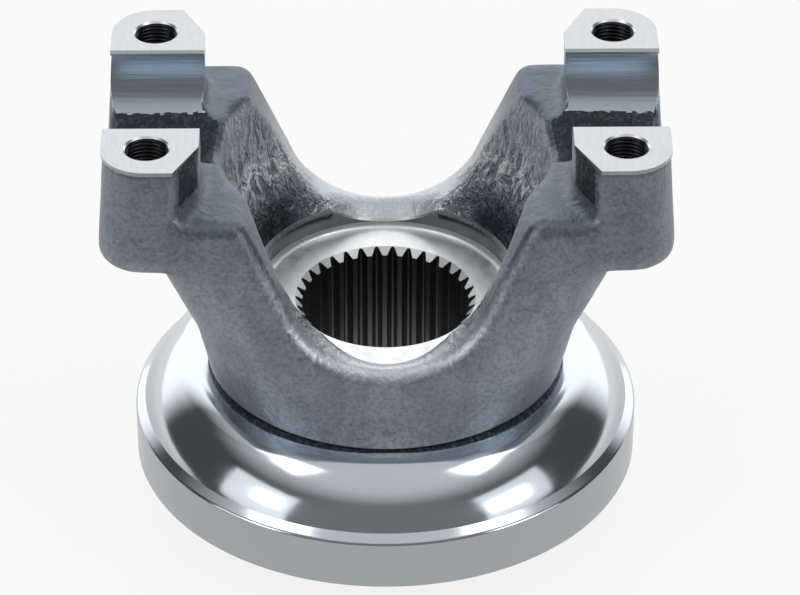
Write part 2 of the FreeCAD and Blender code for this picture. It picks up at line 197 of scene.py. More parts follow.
def new_material(name):
    """An empty node material, and the tree to build in."""
    material = bpy.data.materials.new(name)
    material.use_nodes = True
    material.node_tree.nodes.clear()
    return material, material.node_tree


def pattern(tree, widths_mm, **inputs):
    """Noise on Object coordinates whose grain is so many millimetres wide along each axis. A long
    grain runs along a tool's path or the metal's flow."""
    place = add_node(tree, "ShaderNodeTexCoord", output="Object")
    grain = add_node(tree, "ShaderNodeMapping",
                     {"Vector": place, "Scale": [1 / (width * MM) for width in widths_mm]})
    return add_node(tree, "ShaderNodeTexNoise", {"Vector": grain, "Scale": 1.0, **inputs})


def forged_steel(name, colours, darkness):
    """Drop-forged carbon steel, descaled by shot: a grey skin, pebbled at 1 to 3 mm and streaked
    where it flowed, hammered in the bowl. Darker scale is left in its hollows. The bowl is darker
    lower down and black at its foot as painted shade, and upward faces high on the towers are
    darker. The hammer marks' crests in the bowl are pale metal with a painted highlight, and
    upward faces of the low saddles and of the lip round the bowl are paler as a painted
    reflection. Darkness, from 0 to 1, is how much black is laid over it all, as black scale and
    painted shade."""
    material, tree = new_material(name)
    place = add_node(tree, "ShaderNodeTexCoord", output="Object")
    level_place = add_node(tree, "ShaderNodeVectorMath", {0: place, 1: (1, 1, 0)},
                           operation="MULTIPLY")
    part = {
        "across": add_node(tree, "ShaderNodeVectorMath", {0: level_place}, "Value",
                           operation="LENGTH"),
        "y": add_node(tree, "ShaderNodeSeparateXYZ", {0: place}, "Y"),
        "height": add_node(tree, "ShaderNodeSeparateXYZ", {0: place}, "Z"),
        "upper": add_node(tree, "ShaderNodeSeparateXYZ",
                          {0: add_node(tree, "ShaderNodeNewGeometry", output="Normal")}, "Z"),
        "pointed": add_node(tree, "ShaderNodeNewGeometry", output="Pointiness"),
        "grit": pattern(tree, (1.3, 1.3, 1.3), Detail=4.0, Roughness=0.6),
        "dents": pattern(tree, (5, 5, 5), Detail=3.0, Roughness=0.55, Distortion=0.8),
        "flow": pattern(tree, (16.667, 16.667, 55.556), Detail=6.0, Roughness=0.65, Distortion=1.2),
        "hammer": pattern(tree, (3.2, 3.2, 7.111), Detail=3.0, Roughness=0.6, Distortion=1.0),
    }
    part["along"] = add_node(tree, "ShaderNodeMath", {0: part["y"]}, operation="ABSOLUTE")

    # Each mask follows a part from one value to another, and goes from low to high on an S-curve
    for key, source, start, end, low, high in (
            ("inside", "across", 48.5 * MM, 52 * MM, 1.0, 0.0),
            ("steep", "upper", 0.45, 0.75, 1.0, 0.0),
            ("level", "upper", 0.2, 0.5, 0.0, 1.0),
            ("facing", "upper", -0.2, 0.8, 0.12, 0.75),
            ("hollow", "pointed", 0.40, 0.53, 0.0, 1.0),
            ("worn", "pointed", 0.53, 0.60, 0.0, 0.6),
            ("patch", "flow", 0.36, 0.62, 0.0, 1.0),
            ("speck", "grit", 0.36, 0.60, 0.0, 1.0),
            ("grain", "grit", 0.35, 0.65, 0.38, 0.48),
            # Black laid on by the finish's darkness: black scale and painted shade
            ("heavy_scale_and_shade", "grit", 0.52, 0.62, darkness, darkness * 0.72),
            ("crest", "hammer", 0.43, 0.56, 0.0, 1.0),
            ("at_ends", "along", 27 * MM, 37 * MM, 0.0, 1.0),
            ("at_rim", "across", 47.5 * MM, 50.5 * MM, 0.0, 1.0),
            ("lowest", "height", NUT_Z + 12 * MM, NUT_Z + 26 * MM, 0.9, 0.0),
            ("lower", "height", NUT_Z + 32 * MM, NUT_Z + 52 * MM, 0.9, 0.0),
            # This and the next: darker lower in the bowl, as painted shade
            ("dull", "height", NUT_Z + 8 * MM, NUT_Z + 30 * MM, 1.0, 0.2),
            ("foot", "height", NUT_Z + 10 * MM, NUT_Z + 24 * MM, 0.65, 0.0),
            ("over_foot", "height", NUT_Z + 14 * MM, NUT_Z + 30 * MM, 0.0, 1.0),
            ("high", "height", NUT_Z + 29 * MM, NUT_Z + 52 * MM, 0.0, 1.0)):
        part[key] = add_node(tree, "ShaderNodeMapRange",
                             {"Value": part[source], "From Min": start, "From Max": end,
                              "To Min": low, "To Max": high}, interpolation_type="SMOOTHSTEP")

    # Masks worked out from others; a term is a part's name or a number
    for key, operation, *terms in (
            ("bowl", "MULTIPLY", "inside", "steep"),
            # The bowl darker lower down: painted shade
            ("bowl_painted_shade", "MULTIPLY", "bowl", "dull"),
            ("bowl_crest", "MULTIPLY", "crest", "over_foot"),
            # Pale crests high in the bowl: partly a painted highlight
            ("bowl_pale_and_highlight", "MULTIPLY", "bowl", "bowl_crest"),
            # Black at the bowl's foot: painted shade
            ("bowl_low_shade", "MULTIPLY", "bowl", "foot"),
            ("hammer_depth", "MULTIPLY", "bowl", 3.2 * MM),
            ("saddle", "MULTIPLY", "lowest", "at_ends"),
            ("lip", "MULTIPLY", "at_rim", "lower"),
            ("saddle_and_lip", "MAXIMUM", "saddle", "lip"),
            # Upward faces on the saddles and lip: a painted reflection
            ("rubbed_and_sheen", "MULTIPLY", "level", "saddle_and_lip"),
            # Darker on upward faces high up
            ("darker_high_upward", "MULTIPLY", "facing", "high"),
            ("clean", "MULTIPLY_ADD", "patch", 0.28, 0.72),
            ("fleck", "MULTIPLY_ADD", "speck", 0.35, 0.65),
            # Random specks, and the painted reflection
            ("flecks_and_sheen", "MAXIMUM", "fleck", "rubbed_and_sheen"),
            ("smooth", "MULTIPLY_ADD", "bowl", -0.26, "grain"),
            ("rough", "MULTIPLY_ADD", "bowl_pale_and_highlight", 0.4, "smooth")):
        inputs = {number: part.get(term, term) for number, term in enumerate(terms)}
        part[key] = add_node(tree, "ShaderNodeMath", inputs, operation=operation)

    # Colours laid over each other; None is the colour so far
    tone = colours.forged
    for mask, under, over in (
            ("hollow", colours.scale, None),
            ("clean", colours.scale, None),
            ("worn", None, colours.milled),
            # Painted shade: the bowl darker lower down
            ("bowl_painted_shade", None, colours.scale),
            # Pale crests of the hammer marks, partly a painted highlight
            ("bowl_pale_and_highlight", None, colours.pale_metal_and_highlight),
            # Painted shade: black at the bowl's foot
            ("bowl_low_shade", None, colours.black_scale_and_shade),
            # Painted reflection: upward faces of the low saddles and the bowl's lip made pale
            ("rubbed_and_sheen", None, colours.pressed),
            # Darker on upward faces high up
            ("darker_high_upward", None, colours.scale),
            # Random specks, and the painted reflection, keep the tone from the scale
            ("flecks_and_sheen", colours.scale, None),
            # Black scale and painted shade, by the finish's darkness
            ("heavy_scale_and_shade", None, colours.black_scale_and_shade)):
        tone = add_node(tree, "ShaderNodeMix",
                        {0: part[mask], 6: tone if under is None else under,
                         7: tone if over is None else over}, 2, data_type="RGBA")

    # Hammer marks, dents and grit, each bump laid on the last
    inputs = {}
    for source, distance, strength in (("hammer", part["hammer_depth"], 1.0),
                                       ("dents", 0.7 * MM, 0.7), ("grit", 0.12 * MM, 1.0)):
        inputs.update({"Height": part[source], "Distance": distance, "Strength": strength})
        inputs["Normal"] = add_node(tree, "ShaderNodeBump", inputs)
    shader = add_node(tree, "ShaderNodeBsdfPrincipled",
                      {"Base Color": tone, "Metallic": 0.9, "Roughness": part["rough"],
                       "Normal": inputs["Normal"]})
    add_node(tree, "ShaderNodeOutputMaterial", {"Surface": shader})
    return material


def cut_steel(name, base, widths_mm, roughness, depth_mm):
    """Bare steel with tool marks: fine streaks along the axes where the grain is long. They glint
    more than the steel between them, and are drawn coarser than the real ones, so as to show."""
    material, tree = new_material(name)
    marks = pattern(tree, widths_mm, Detail=3.0, Roughness=0.6)
    rough = add_node(tree, "ShaderNodeMapRange",
                     {"Value": marks, "From Min": 0.3, "From Max": 0.7,
                      "To Min": roughness * 0.8, "To Max": roughness * 1.2})
    bump = add_node(tree, "ShaderNodeBump",
                    {"Height": marks, "Distance": depth_mm * MM, "Strength": 1.0})
    shader = add_node(tree, "ShaderNodeBsdfPrincipled",
                      {"Base Color": base, "Metallic": 1.0, "Roughness": rough, "Normal": bump})
    add_node(tree, "ShaderNodeOutputMaterial", {"Surface": shader})
    return material


def read_triangles(obj):
    """A CAD mesh as merged points and triangles."""
    copy = obj.data.copy()
    count = len(copy.vertices)
    points = np.empty(count * 3)
    copy.vertices.foreach_get("co", points)
    points = points.reshape(-1, 3)
    copy.calc_loop_triangles()
    triangles = np.empty(len(copy.loop_triangles) * 3, dtype=np.int64)
    copy.loop_triangles.foreach_get("vertices", triangles)
    triangles = triangles.reshape(-1, 3)
    bpy.data.meshes.remove(copy)
    keys = np.round(points / (0.001 * MM)).astype(np.int64)
    _, first, back = np.unique(keys, axis=0, return_index=True, return_inverse=True)
    points = points[first]
    triangles = back.reshape(-1)[triangles]
    whole = ((triangles[:, 0] != triangles[:, 1]) & (triangles[:, 1] != triangles[:, 2])
             & (triangles[:, 2] != triangles[:, 0]))
    return points, triangles[whole]


def split_long_edges(points, triangles, labels, limits):
    """One pass of refinement. Every edge longer than the limit of a face beside it gets a point
    at its middle, and each triangle is cut into two, three or four along those points."""
    sides = triangles[:, [0, 1, 1, 2, 2, 0]].reshape(-1, 3, 2)
    low, high = sides.min(axis=2), sides.max(axis=2)
    keys, back = np.unique(low * len(points) + high, return_inverse=True)
    back = back.reshape(-1, 3)
    start, end = keys // len(points), keys % len(points)
    reach = np.linalg.norm(points[start] - points[end], axis=1)
    limit = np.full(len(keys), np.inf)
    for side in range(3):
        np.minimum.at(limit, back[:, side], limits)
    marked = reach > limit
    if not marked.any():
        return points, triangles, labels, False
    number = np.full(len(keys), -1, dtype=np.int64)
    number[marked] = len(points) + np.arange(marked.sum())
    points = np.vstack([points, (points[start[marked]] + points[end[marked]]) / 2])
    middles = number[back]
    cut = middles >= 0
    count = cut.sum(axis=1)
    pieces, owners = [], []

    def keep(rows, *corners):
        pieces.append(np.stack(corners, axis=1))
        owners.append(labels[rows])

    rows = np.flatnonzero(count == 0)
    keep(rows, *triangles[rows].T)
    for turn in range(3):
        order = [turn, (turn + 1) % 3, (turn + 2) % 3]
        rows = np.flatnonzero((count == 1) & cut[:, turn])
        a, b, c = triangles[rows][:, order].T
        m = middles[rows, turn]
        keep(rows, a, m, c)
        keep(rows, m, b, c)
        rows = np.flatnonzero((count == 2) & ~cut[:, order[2]])
        a, b, c = triangles[rows][:, order].T
        m, n = middles[rows, order[0]], middles[rows, order[1]]
        keep(rows, m, b, n)
        near = (np.linalg.norm(points[a] - points[n], axis=1)
                < np.linalg.norm(points[m] - points[c], axis=1))
        keep(rows[near], a[near], m[near], n[near])
        keep(rows[near], a[near], n[near], c[near])
        far = ~near
        keep(rows[far], a[far], m[far], c[far])
        keep(rows[far], m[far], n[far], c[far])
    rows = np.flatnonzero(count == 3)
    a, b, c = triangles[rows].T
    m, n, o = middles[rows].T
    keep(rows, a, m, o)
    keep(rows, m, b, n)
    keep(rows, o, n, c)
    keep(rows, m, n, o)
    return points, np.vstack(pieces), np.concatenate(owners), True


def point_normals(points, triangles):
    """Area-weighted normal at each point."""
    a, b, c = points[triangles[:, 0]], points[triangles[:, 1]], points[triangles[:, 2]]
    face = np.cross(b - a, c - a)
    total = np.zeros_like(points)
    for corner in range(3):
        np.add.at(total, triangles[:, corner], face)
    return total / np.maximum(np.linalg.norm(total, axis=1), NO_LENGTH)[:, None]


def smoothed(points, triangles, weight, rounds):
    """Each point moves half way to the mean of its neighbours, by its weight, in each round."""
    sides = triangles[:, [0, 1, 1, 2, 2, 0]].reshape(-1, 2)
    degree = np.bincount(sides[:, 0], minlength=len(points)).astype(float)
    for _ in range(rounds):
        total = np.zeros_like(points)
        for axis in range(3):
            total[:, axis] = np.bincount(sides[:, 0], weights=points[sides[:, 1], axis],
                                         minlength=len(points))
        mean = total / np.maximum(degree, 1)[:, None]
        points = points + (mean - points) * (0.5 * weight)[:, None]
    return points


def hashed(cells, seed):
    """A value from 0 to 1 for each whole-number cell, the same on every run: each axis times a
    large prime, mixed by exclusive or and by shifts."""
    x, y, z = cells.T
    h = (x * 73856093) ^ (y * 19349663) ^ (z * 83492791) ^ (seed * 2654435761)
    h = (h ^ (h >> 13)) * 1274126177
    h = (h ^ (h >> 16)) & 0xFFFFFF
    return h / float(0xFFFFFF)


def value_noise(points, cell, seed):
    """Smooth noise from 0 to 1: random values on a lattice, blended with an S-curve."""
    place = points / cell
    base = np.floor(place).astype(np.int64)
    part = place - base
    part = part * part * (3 - 2 * part)
    total = np.zeros(len(points))
    for dx in (0, 1):
        for dy in (0, 1):
            for dz in (0, 1):
                share = (np.abs(1 - dx - part[:, 0]) * np.abs(1 - dy - part[:, 1])
                         * np.abs(1 - dz - part[:, 2]))
                total += share * hashed(base + np.array([dx, dy, dz]), seed)
    return total


def mesh_object(name, points, faces, materials, material_index=None):
    """A new mesh object from whole arrays of points and faces."""
    mesh = bpy.data.meshes.new(name)
    mesh.from_pydata(points.tolist(), [], faces.tolist())
    for material in materials:
        mesh.materials.append(material)
    if material_index is not None:
        mesh.polygons.foreach_set("material_index", material_index.astype(np.int32))
    mesh.polygons.foreach_set("use_smooth", np.ones(len(faces), dtype=bool))
    mesh.validate()
    mesh.set_sharp_from_angle(angle=SHARP_ANGLE)
    mesh.update()
    obj = bpy.data.objects.new(name, mesh)
    bpy.context.scene.collection.objects.link(obj)
    return obj


def skin_distance(points, sizes):
    """Distance from the machined faces, in metres: pads and their rims, seats, recess and foot. It
    is 0 or less on them."""
    x, y, z = points.T
    to_seat = np.hypot(y, z - PAD_Z) - SEAT_RADIUS
    to_rim = (PAD_Z - sizes.pad_band) - z
    to_recess = np.maximum(np.hypot(x, y) - sizes.counterbore, z - (NUT_Z + sizes.recess_depth))
    to_foot = z - (SHOULDER_Z + sizes.broken_edge)
    return np.minimum.reduce([to_seat, to_rim, to_recess, to_foot])


def surface_labels(points, triangles, sizes):
    """Which tool made each face, and where the black finish lays painted shade, from the place and slope
    of its middle.
    """
    middle = points[triangles].mean(axis=1)
    x, y, z = middle.T
    labels = np.full(len(triangles), FORGED)
    machined = (skin_distance(middle, sizes) < ON_CUT) & ((z < SHOULDER_Z) | (z > NUT_Z - SEAT_SAG))
    labels[machined] = TURNED
    labels[machined & (z > PAD_Z - sizes.pad_band - 2 * LAP)] = MILLED
    over_arms = np.abs(x) > sizes.arm_start
    seat = np.abs(np.hypot(y, z - PAD_Z) - SEAT_RADIUS) < SEAT_SAG
    labels[seat & over_arms & (z < PAD_Z - sizes.seat_chamfer)] = BORED
    a, b, c = points[triangles].transpose(1, 0, 2)
    normal = np.cross(b - a, c - a)
    upward = normal[:, 2] / np.maximum(np.linalg.norm(normal, axis=1), NO_LENGTH)
    # Faces that look down over the slinger, under the hub's edge, take the black finish as a painted
    # shadow
    over_slinger = (z > SHOULDER_Z) & (z < SHOULDER_Z + 3 * sizes.broken_edge)
    labels[over_slinger & (upward < -0.4)] = SCALE_AND_SHADE
    labels[machined & (z > NUT_Z + sizes.nut_corner) & (z < PAD_Z - SEAT_RADIUS)] = WALL
    # The slanted inner corners of the towers, which take the black finish as painted shade
    slope = np.arctan2(np.abs(normal[:, 1]), np.abs(normal[:, 0]))
    slant = (np.abs(slope - sizes.corner_slant) < math.radians(3)) & (np.abs(upward) < 0.02)
    on_tower = (np.abs(x) > sizes.tower_start) & (z > PAD_Z - sizes.corner_height)
    labels[(labels == FORGED) & slant & on_tower] = SCALE_AND_SHADE
    in_spline = (np.hypot(x, y) < sizes.spline_root) & (z < NUT_Z - LAP) & (z > LAP)
    labels[in_spline] = BROACHED
    labels[in_spline & (upward > 0.5) & (z > NUT_Z - sizes.spline_edge)] = TURNED
    # The forged trough under each seat: forge scale, given the black finish as painted shade too
    trough_axis = PAD_Z - sizes.trough_depth + sizes.trough_half
    in_trough = np.abs(np.hypot(y, z - trough_axis) - sizes.trough_half) < TROUGH_SAG
    labels[(labels == FORGED) & in_trough & over_arms & (z < trough_axis)] = SCALE_AND_SHADE
    return labels


def worn_borders(labels, middle, sizes):
    """Two borders between finishes: a rippled one where the cutter ran out on the scale low in each
    seat, below which the black finish is also painted shade, and a bright, worn ring along the
    upper edge of the nut face's recess."""
    x, y, z = middle.T
    ripple = sizes.seat_ripple * (value_noise(middle, sizes.ripple_cell, 4) - 0.5)
    # Low in each seat: scale the cutter left, in the black finish, which is also painted shade
    labels[(labels == BORED) & (z < PAD_Z - sizes.seat_depth + ripple)] = SCALE_AND_SHADE
    from_edge = np.hypot(x, y) - sizes.counterbore
    ring = (from_edge > 0) & (from_edge < sizes.bright_edge) & (z > NUT_Z)
    labels[(labels == FORGED) & ring & (z < NUT_Z + sizes.recess_depth)] = MILLED


def hole_wall(points, triangles, sizes):
    """True for the faces of the four tapped holes above their drilled points."""
    x, y, z = points.T
    from_hole = np.hypot(np.abs(x) - HOLE_X, np.abs(y) - HOLE_Y)
    inside = (from_hole < sizes.mouth_radius + TOUCH) & (z > PAD_Z - sizes.hole_depth - TOUCH)
    return inside[triangles].all(axis=1)


class YOKE_OT_forging(bpy.types.Operator):
    """Refines and roughens the forged skin, and gives each machined face its own finish"""
    bl_idname = "yoke.forging"
    bl_label = "Forging"

    def execute(self, context):
        sizes, colours = context.scene.yoke_sizes, context.scene.yoke_colours
        points, triangles = read_triangles(frame["nodes"]["yoke"])
        triangles = triangles[~hole_wall(points, triangles, sizes)]
        labels = surface_labels(points, triangles, sizes)
        longest = np.full(len(FINISHES), sizes.turned_edge)
        longest[FORGED] = sizes.skin_edge
        longest[[SCALE_AND_SHADE, BORED]] = sizes.seat_edge
        longest[BROACHED] = np.inf
        going = True
        while going:
            middle = points[triangles].mean(axis=1)
            near_cut = (labels == FORGED) & (skin_distance(middle, sizes) < 1.5 * sizes.skin_fade)
            limits = np.where(near_cut, sizes.border_edge, longest[labels])
            points, triangles, labels, going = split_long_edges(points, triangles, labels, limits)
        worn_borders(labels, points[triangles].mean(axis=1), sizes)
        weight = np.clip(skin_distance(points, sizes) / sizes.skin_fade, 0, 1)
        weight = weight * weight * (3 - 2 * weight)
        points = smoothed(points, triangles, weight, SMOOTHING_ROUNDS)
        # Three sizes of unevenness, each with its share, width and seed
        relief = sum(share * value_noise(points, sizes.skin_cell * width, seed)
                     for share, width, seed in ((0.5, 1.8, 3), (0.3, 1.0, 1), (0.2, 1 / 2.3, 2)))
        normals = point_normals(points, triangles)
        points = points - normals * (weight * relief * sizes.skin_relief)[:, None]
        round_marks = (3.333, 3.333, 0.4)
        finishes = {
            FORGED: forged_steel("forged_steel", colours, 0.0),
            # Face-milled pads: pale, with short soft streaks across them
            MILLED: cut_steel("milled_steel", colours.milled, (1.111, 8.333, 8.333), 0.30, 0.012),
            # Line-bored seats: bluish and glossy, with fine rings round the cup
            BORED: cut_steel("bored_steel", colours.bored, (16.667, 0.667, 0.667), 0.24, 0.02),
            # Turned nut face and journal: the brightest, with a broad soft sheen
            TURNED: cut_steel("turned_steel", colours.turned, round_marks, 0.40, 0.01),
            # Broached spline: dark with oil, scored along the teeth
            BROACHED: cut_steel("broached_steel", colours.broached, (0.4, 0.4, 16.667), 0.3, 0.02),
            # Black scale that was never cut, with a few bright specks. It is also laid as painted shade
            # in the troughs, low in the seats, on the towers' slanted corners and under the hub's edge
            SCALE_AND_SHADE: forged_steel("scale_and_shade_steel", colours, 0.78),
            # The recess's wall: bored, duller and darker than the face
            WALL: cut_steel("counterbored_steel", colours.wall, round_marks, 0.24, 0.01),
        }
        obj = mesh_object("forged_body", points, triangles, [finishes[i] for i in FINISHES], labels)
        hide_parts("yoke")
        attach(obj, "root")
        return {"FINISHED"}


class YOKE_OT_threads(bpy.types.Operator):
    """Cuts the threads of the four tapped holes"""
    bl_idname = "yoke.threads"
    bl_label = "Threads"

    def execute(self, context):
        sizes, colours = context.scene.yoke_sizes, context.scene.yoke_colours
        around, steps_per_turn = 72, 9
        rows = int(round(sizes.hole_depth / sizes.thread_pitch * steps_per_turn)) + 1
        depth, turn = np.meshgrid(np.linspace(0, sizes.hole_depth, rows), np.arange(around) / around,
                                  indexing="ij")
        # The groove is a triangle wave of depth and angle together, with flats at crest and root
        phase = np.mod(depth / sizes.thread_pitch + turn, 1.0)
        groove = np.clip(1.35 * (1 - np.abs(2 * phase - 1)) - 0.2, 0, 1)
        last = np.clip((sizes.thread_length - depth) / sizes.thread_pitch, 0, 1)
        radius = HOLE_RADIUS + sizes.thread_depth * groove * last
        radius = np.maximum(radius, sizes.mouth_radius - depth)
        faces = grid_faces(rows, around)
        angle = 2 * math.pi * turn
        hole = np.stack([radius * np.cos(angle), radius * np.sin(angle), PAD_Z - depth], axis=-1)
        hole = hole.reshape(-1, 3)
        places = np.array([[x, y, 0] for x in (-HOLE_X, HOLE_X) for y in (-HOLE_Y, HOLE_Y)])
        points = (places[:, None, :] + hole).reshape(-1, 3)
        quads = (np.arange(len(places))[:, None, None] * len(hole) + faces).reshape(-1, 4)
        mouth = np.repeat(depth[:-1, 0] < sizes.bright_mouth, around)
        even_marks = (2.5, 2.5, 2.5)
        # Tapped wall: nearly black with cutting oil. Countersunk mouth: a bright thin ring
        finishes = [cut_steel("tapped_steel", colours.tapped, even_marks, 0.34, 0.01),
                    cut_steel("countersunk_steel", colours.turned, even_marks, 0.3, 0.01)]
        obj = mesh_object("tapped_threads", points, quads, finishes, np.tile(mouth, len(places)))
        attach(obj, "root")
        return {"FINISHED"}


def grid_faces(rows, around):
    """Quads of a tube of whole rings, seen from its inside when the rows run down."""
    row, column = np.meshgrid(np.arange(rows - 1), np.arange(around), indexing="ij")
    following = (column + 1) % around
    corners = [row * around + column, row * around + following,
               (row + 1) * around + following, (row + 1) * around + column]
    return np.stack(corners, axis=-1).reshape(-1, 4)


def arc(centre_r, centre_z, radius, start, end, count):
    """Rows of (radius, height, angle of the normal from the vertical) along a round bend."""
    angle = np.linspace(start, end, count)
    return np.stack([centre_r + radius * np.sin(angle), centre_z + radius * np.cos(angle), angle], axis=1)


def straight(start, end, angle, count):
    """The same for a straight run."""
    t = np.linspace(0, 1, count)[:, None]
    path = np.array([start]) * (1 - t) + np.array([end]) * t
    return np.hstack([path, np.full((count, 1), angle)])


def slinger_profile(sizes):
    """The sheet's upper face from the collar's lower end to the skirt's edge: collar, bend, flat,
    bend, a nearly straight dome whose curve meets the foot exactly, band, corner and skirt."""
    top, slope, band = SHOULDER_Z, sizes.shoulder_slope, sizes.band_slope
    collar, bend = sizes.collar_radius, sizes.collar_bend
    start_r = sizes.flat_radius + sizes.shoulder_bend * math.sin(slope)
    start_z = top - sizes.shoulder_bend * (1 - math.cos(slope))
    foot_r, foot_z = sizes.dome_radius, top - sizes.dome_drop
    chord = math.hypot(foot_r - start_r, start_z - foot_z)
    turn = math.atan2(start_z - foot_z, foot_r - start_r) - slope
    radius = chord / 2 / math.sin(turn)
    rim_z = foot_z - (RIM_RADIUS - foot_r) * math.tan(band)
    corner = sizes.rim_corner
    back = corner * math.tan((math.pi / 2 - band) / 2)
    corner_z = rim_z - back
    rows = [
        straight((collar, top - sizes.collar_length), (collar, top - bend), -math.pi / 2, 4),
        arc(collar + bend, top - bend, bend, -math.pi / 2, 0, 12),
        straight((collar + bend, top), (sizes.flat_radius, top), 0, 4),
        arc(sizes.flat_radius, top - sizes.shoulder_bend, sizes.shoulder_bend, 0, slope, 16),
        arc(start_r - radius * math.sin(slope), start_z - radius * math.cos(slope), radius,
            slope, slope + 2 * turn, 12),
        straight((foot_r, foot_z), (RIM_RADIUS - back * math.cos(band), rim_z + back * math.sin(band)),
                 band, 4),
        arc(RIM_RADIUS - corner, corner_z, corner, band, math.pi / 2, 8),
        straight((RIM_RADIUS, corner_z), (RIM_RADIUS, SKIRT_Z), math.pi / 2, 6),
    ]
    return np.vstack(rows)


class YOKE_OT_slinger(bpy.types.Operator):
    """Spins the pressed slinger from its profile, with both faces of the sheet"""
    bl_idname = "yoke.slinger"
    bl_label = "Slinger"

    def execute(self, context):
        sizes, colours = context.scene.yoke_sizes, context.scene.yoke_colours
        upper = slinger_profile(sizes)
        r, z, angle = upper.T
        under = np.stack([r - sizes.sheet * np.sin(angle), z - sizes.sheet * np.cos(angle)], axis=1)
        section = np.vstack([upper[:, :2], under[::-1]])
        ends = np.array([0, len(upper) - 1, len(upper), len(section) - 1])
        section = rounded_ends(section, ends, sizes.sheared_edge)
        # Where two runs of the profile meet, their common point is kept once, and below the flat
        # they meet in a faint crease
        first = np.linalg.norm(section - np.roll(section, 1, axis=0), axis=1) > SAME_POINT
        runs_meet = ~np.roll(first, -1)[first]
        section = section[first]
        below_flat = section[:, 1] < SHOULDER_Z - sizes.sheet - TOUCH
        around = 256
        turn = 2 * math.pi * np.arange(around) / around
        ring = section[:, None, :]
        points = np.stack([ring[..., 0] * np.cos(turn), ring[..., 0] * np.sin(turn),
                           np.repeat(ring[..., 1], around, axis=1)], axis=-1).reshape(-1, 3)
        rows = len(section)
        faces = grid_faces(rows + 1, around) % (rows * around)
        # Pressed sheet, polished: nearly a mirror, with faint rings round it
        finish = cut_steel("pressed_steel", colours.pressed, (11.111, 11.111, 1.429), 0.12, 0.003)
        obj = mesh_object("pressed_ring", points, faces[:, ::-1], [finish])
        crease(obj.data, np.flatnonzero(runs_meet & below_flat), around)
        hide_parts("dust_slinger")
        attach(obj, "root")
        return {"FINISHED"}


def crease(mesh, rows, around):
    """Marks the edges along the given rings of a spun mesh as sharp."""
    ends = np.empty(len(mesh.edges) * 2, dtype=np.int32)
    mesh.edges.foreach_get("vertices", ends)
    row = ends.reshape(-1, 2) // around
    sharp = np.empty(len(mesh.edges), dtype=bool)
    mesh.edges.foreach_get("use_edge_sharp", sharp)
    sharp |= (row[:, 0] == row[:, 1]) & np.isin(row[:, 0], rows)
    mesh.edges.foreach_set("use_edge_sharp", sharp)


def rounded_ends(section, corners, radius):
    """A closed outline in which each named corner becomes three points: one step back along the
    outline, a short step inside, and one step on."""
    steps = np.array([(1.0, 0.0), (0.3, 0.3), (0.0, 1.0)])
    at_corner = np.isin(np.arange(len(section)), corners)
    index = np.repeat(np.arange(len(section)), np.where(at_corner, len(steps), 1))
    share = np.zeros((len(index), 2))
    share[at_corner[index]] = np.tile(steps, (len(corners), 1))
    before = section[index - 1] - section[index]
    after = section[(index + 1) % len(section)] - section[index]
    before /= np.maximum(np.linalg.norm(before, axis=1), NO_LENGTH)[:, None]
    after /= np.maximum(np.linalg.norm(after, axis=1), NO_LENGTH)[:, None]
    return section[index] + radius * (share[:, :1] * before + share[:, 1:] * after)


class YOKE_OT_studio(bpy.types.Operator):
    """Floor, soft lights, world and camera"""
    bl_idname = "yoke.studio"
    bl_label = "Studio"

    def execute(self, context):
        make_floor(context.scene.yoke_colours)
        make_world()
        make_lights()
        make_camera()
        context.scene.view_settings.view_transform = "Standard"
        return {"FINISHED"}


def make_floor(colours):
    """White card, seen white by the camera apart from the object's shadow. What the metal
    reflects of it is grey before the object and white beside and behind it."""
    size = 6.0
    corners = np.array([[-size, -size, 0], [size, -size, 0], [size, size, 0], [-size, size, 0]])
    material, tree = new_material("studio_floor")
    place = add_node(tree, "ShaderNodeTexCoord", output="Object")
    depth = add_node(tree, "ShaderNodeSeparateXYZ", {0: place}, "Y")
    behind, before = [
        add_node(tree, "ShaderNodeMapRange",
                 {"Value": depth, "From Min": start, "From Max": end, "To Min": low, "To Max": high},
                 interpolation_type="SMOOTHSTEP")
        for start, end, low, high in ((-0.10, 0.25, 0.56, 0.98), (-0.70, -0.25, 0.2, 1.0))]
    lit = add_node(tree, "ShaderNodeMath", {0: behind, 1: before}, operation="MULTIPLY")
    card = add_node(tree, "ShaderNodeEmission", {"Color": colours.card, "Strength": lit})
    white = add_node(tree, "ShaderNodeEmission", {"Color": (1, 1, 1, 1), "Strength": 1.0})
    diffuse = add_node(tree, "ShaderNodeBsdfDiffuse", {"Color": colours.floor})
    to_camera = add_node(tree, "ShaderNodeLightPath", output="Is Camera Ray")
    seen = add_node(tree, "ShaderNodeMath", {0: to_camera, 1: 0.85}, operation="MULTIPLY")
    pale = add_node(tree, "ShaderNodeMixShader", {0: seen, 1: diffuse, 2: white})
    to_metal = add_node(tree, "ShaderNodeLightPath", output="Is Glossy Ray")
    both = add_node(tree, "ShaderNodeMixShader", {0: to_metal, 1: pale, 2: card})
    add_node(tree, "ShaderNodeOutputMaterial", {"Surface": both})
    floor = mesh_object("studio_floor", corners, np.array([[0, 1, 2, 3]]), [material])


